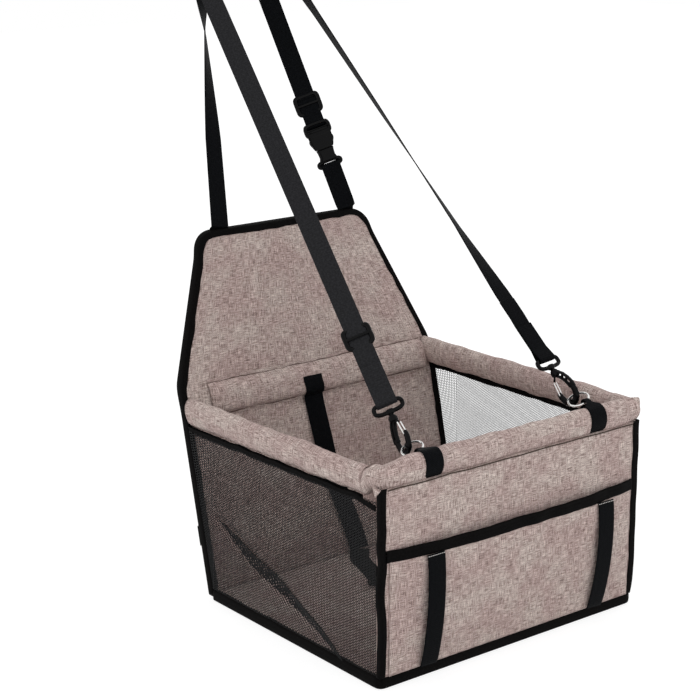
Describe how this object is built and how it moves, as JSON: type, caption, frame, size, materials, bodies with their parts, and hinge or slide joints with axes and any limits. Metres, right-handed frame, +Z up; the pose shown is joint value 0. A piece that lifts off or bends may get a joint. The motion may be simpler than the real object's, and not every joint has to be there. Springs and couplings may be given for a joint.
{
  "type": "dog car seat",
  "caption": "Fold-up dog car seat: cloth basket with mesh sides and a front pocket, a tall backrest, and webbing straps with swivel hooks up to a headrest loop.",
  "frame": {"origin": "middle of the base's underside, on the surface that the seat rests on", "axes": "+X across the seat towards its right side as the picture shows it, +Y towards the backrest, +Z up"},
  "size_m": [0.4, 0.702, 0.812],
  "materials": {
    "linen_cloth": "woven",
    "black_tape": "woven",
    "black_webbing": "woven",
    "black_mesh": "mesh",
    "board": "matte",
    "foam": "soft",
    "tube": "satin",
    "black_plastic": "satin",
    "steel": "polished"
  },
  "bodies": {
    "backrest": {"back_band": "linen_cloth", "back_board": "board", "back_cover": "linen_cloth", "back_foam": "foam", "back_lining": "linen_cloth", "back_strap_left": "black_webbing", "back_strap_right_lower": "black_webbing", "back_strap_right_upper": "black_webbing", "back_tape": "black_tape", "back_tube": "tube", "belt_loop": "black_webbing", "buckle_socket": "black_plastic", "front_strap_left_upper": "black_webbing", "front_strap_right_upper": "black_webbing", "headrest_loop": "black_webbing", "tether_back": "black_webbing"},
    "base": {"base_underside": "linen_cloth", "base_board": "board", "base_foam": "foam", "base_lining": "linen_cloth", "base_tape": "black_tape", "tether_floor": "black_webbing", "tether_eye": "black_plastic", "left_mesh": "black_mesh", "right_mesh": "black_mesh"},
    "side_rail_left": {"left_sleeve": "linen_cloth", "left_tube": "tube"},
    "side_rail_right": {"right_sleeve": "linen_cloth", "right_tube": "tube"},
    "front": {"front_panel": "linen_cloth", "front_board": "board", "front_lining": "linen_cloth", "front_edge_tape_left": "black_tape", "front_edge_tape_right": "black_tape", "front_sleeve": "linen_cloth", "front_tube": "tube", "front_pocket": "linen_cloth", "pocket_tape": "black_tape", "pocket_strap_left": "black_webbing", "pocket_strap_right": "black_webbing", "ring_tab_left": "black_webbing", "ring_tab_right": "black_webbing", "front_strap_left_lower": "black_webbing", "front_strap_right_lower": "black_webbing", "front_left_eye": "black_plastic", "front_right_eye": "black_plastic"},
    "ring_left": {"ring_left": "steel"},
    "ring_right": {"ring_right": "steel"},
    "hook_left": {"front_left_hook": "black_plastic"},
    "hook_right": {"front_right_hook": "black_plastic"},
    "gate_left": {"front_left_gate": "steel"},
    "gate_right": {"front_right_gate": "steel"},
    "front_slider": {"front_slider": "black_plastic"},
    "back_slider": {"back_slider": "black_plastic"},
    "buckle_plug": {"buckle_plug": "black_plastic"},
    "latch_left": {"buckle_latch_left": "black_plastic"},
    "latch_right": {"buckle_latch_right": "black_plastic"},
    "tether_hook": {"tether_hook": "black_plastic"},
    "tether_gate": {"tether_gate": "steel"}
  },
  "joints": [
    {"name": "base_fold", "type": "hinge", "parent": "backrest", "child": "base", "pos_m": [0, 0.1606, 0.0143], "axis": [-1, 0, 0], "range_deg": [0, 75], "deforming": ["left_mesh", "right_mesh", "front_strap_left_upper", "front_strap_right_upper"]},
    {"name": "rail_fold_left", "type": "hinge", "parent": "backrest", "child": "side_rail_left", "pos_m": [0, 0.21811, 0.244], "axis": [-1, 0, 0], "range_deg": [0, 75]},
    {"name": "rail_fold_right", "type": "hinge", "parent": "backrest", "child": "side_rail_right", "pos_m": [0, 0.22276, 0.2588], "axis": [-1, 0, 0], "range_deg": [0, 75]},
    {"name": "front_fold", "type": "hinge", "parent": "base", "child": "front", "pos_m": [0, -0.1619, 0.0143], "axis": [1, 0, 0], "range_deg": [0, 75]},
    {"name": "ring_swing_left", "type": "hinge", "parent": "front", "child": "ring_left", "pos_m": [-0.1235, -0.1364, 0.2554], "axis": [1, 0, 0], "range_deg": [-5, 5]},
    {"name": "hook_swivel_left", "type": "hinge", "parent": "front", "child": "hook_left", "pos_m": [-0.1235, -0.1114, 0.2554], "axis": [0.0861, 0.694, 0.7149], "range_deg": [-20, 20]},
    {"name": "hook_gate_left", "type": "hinge", "parent": "hook_left", "child": "gate_left", "pos_m": [-0.12195, -0.09894, 0.27977], "axis": [0.9924, -0.1231, 0], "range_deg": [0, 25], "stiffness_Nm_per_rad": 0.02, "springref_deg": -20.05},
    {"name": "ring_swing_right", "type": "hinge", "parent": "front", "child": "ring_right", "pos_m": [0.1303, -0.1398, 0.2644], "axis": [1, 0, 0], "range_deg": [-5, 5]},
    {"name": "hook_swivel_right", "type": "hinge", "parent": "front", "child": "hook_right", "pos_m": [0.1303, -0.1148, 0.2644], "axis": [-0.0956, 0.7017, 0.706], "range_deg": [-20, 20]},
    {"name": "hook_gate_right", "type": "hinge", "parent": "hook_right", "child": "gate_right", "pos_m": [0.12702, -0.09077, 0.27719], "axis": [-0.9908, -0.135, 0], "range_deg": [0, 25], "stiffness_Nm_per_rad": 0.02, "springref_deg": -20.05},
    {"name": "front_strap_adjust", "type": "slide", "parent": "front", "child": "front_slider", "axis": [0.0861, 0.694, 0.7149], "range_m": [-0.006, 0.05]},
    {"name": "back_strap_adjust", "type": "slide", "parent": "backrest", "child": "back_slider", "axis": [-0.1797, 0.3383, 0.9237], "range_m": [-0.01, 0.08]},
    {"name": "buckle_release", "type": "slide", "parent": "backrest", "child": "buckle_plug", "axis": [0.1797, -0.3383, -0.9237], "range_m": [0, 0.02], "deforming": ["back_strap_right_lower"]},
    {"name": "buckle_press_left", "type": "hinge", "parent": "buckle_plug", "child": "latch_left", "pos_m": [0.07946, 0.31366, 0.50848], "axis": [0.5782, 0.796, -0.179], "range_deg": [0, 6], "stiffness_Nm_per_rad": 0.05, "springref_deg": -5.73},
    {"name": "buckle_press_right", "type": "hinge", "parent": "buckle_plug", "child": "latch_right", "pos_m": [0.09742, 0.30233, 0.51611], "axis": [0.5782, 0.796, -0.179], "range_deg": [-6, 0], "stiffness_Nm_per_rad": 0.05, "springref_deg": 5.73},
    {"name": "tether_swivel", "type": "hinge", "parent": "base", "child": "tether_hook", "pos_m": [-0.04077, 0.00438, 0.0154], "axis": [0.3789, 0.9254, 0], "range_deg": [-5, 5]},
    {"name": "tether_gate_open", "type": "hinge", "parent": "tether_hook", "child": "tether_gate", "pos_m": [-0.02338, 0.02557, 0.0154], "axis": [0, 0, -1], "range_deg": [0, 25], "stiffness_Nm_per_rad": 0.02, "springref_deg": -20.05}
  ],
  "couplings": [
    {"joint": "rail_fold_left", "follows": "base_fold", "ratio": 1},
    {"joint": "rail_fold_right", "follows": "base_fold", "ratio": 1},
    {"joint": "front_fold", "follows": "base_fold", "ratio": 1},
    {"joint": "buckle_press_right", "follows": "buckle_press_left", "ratio": -1}
  ]
}
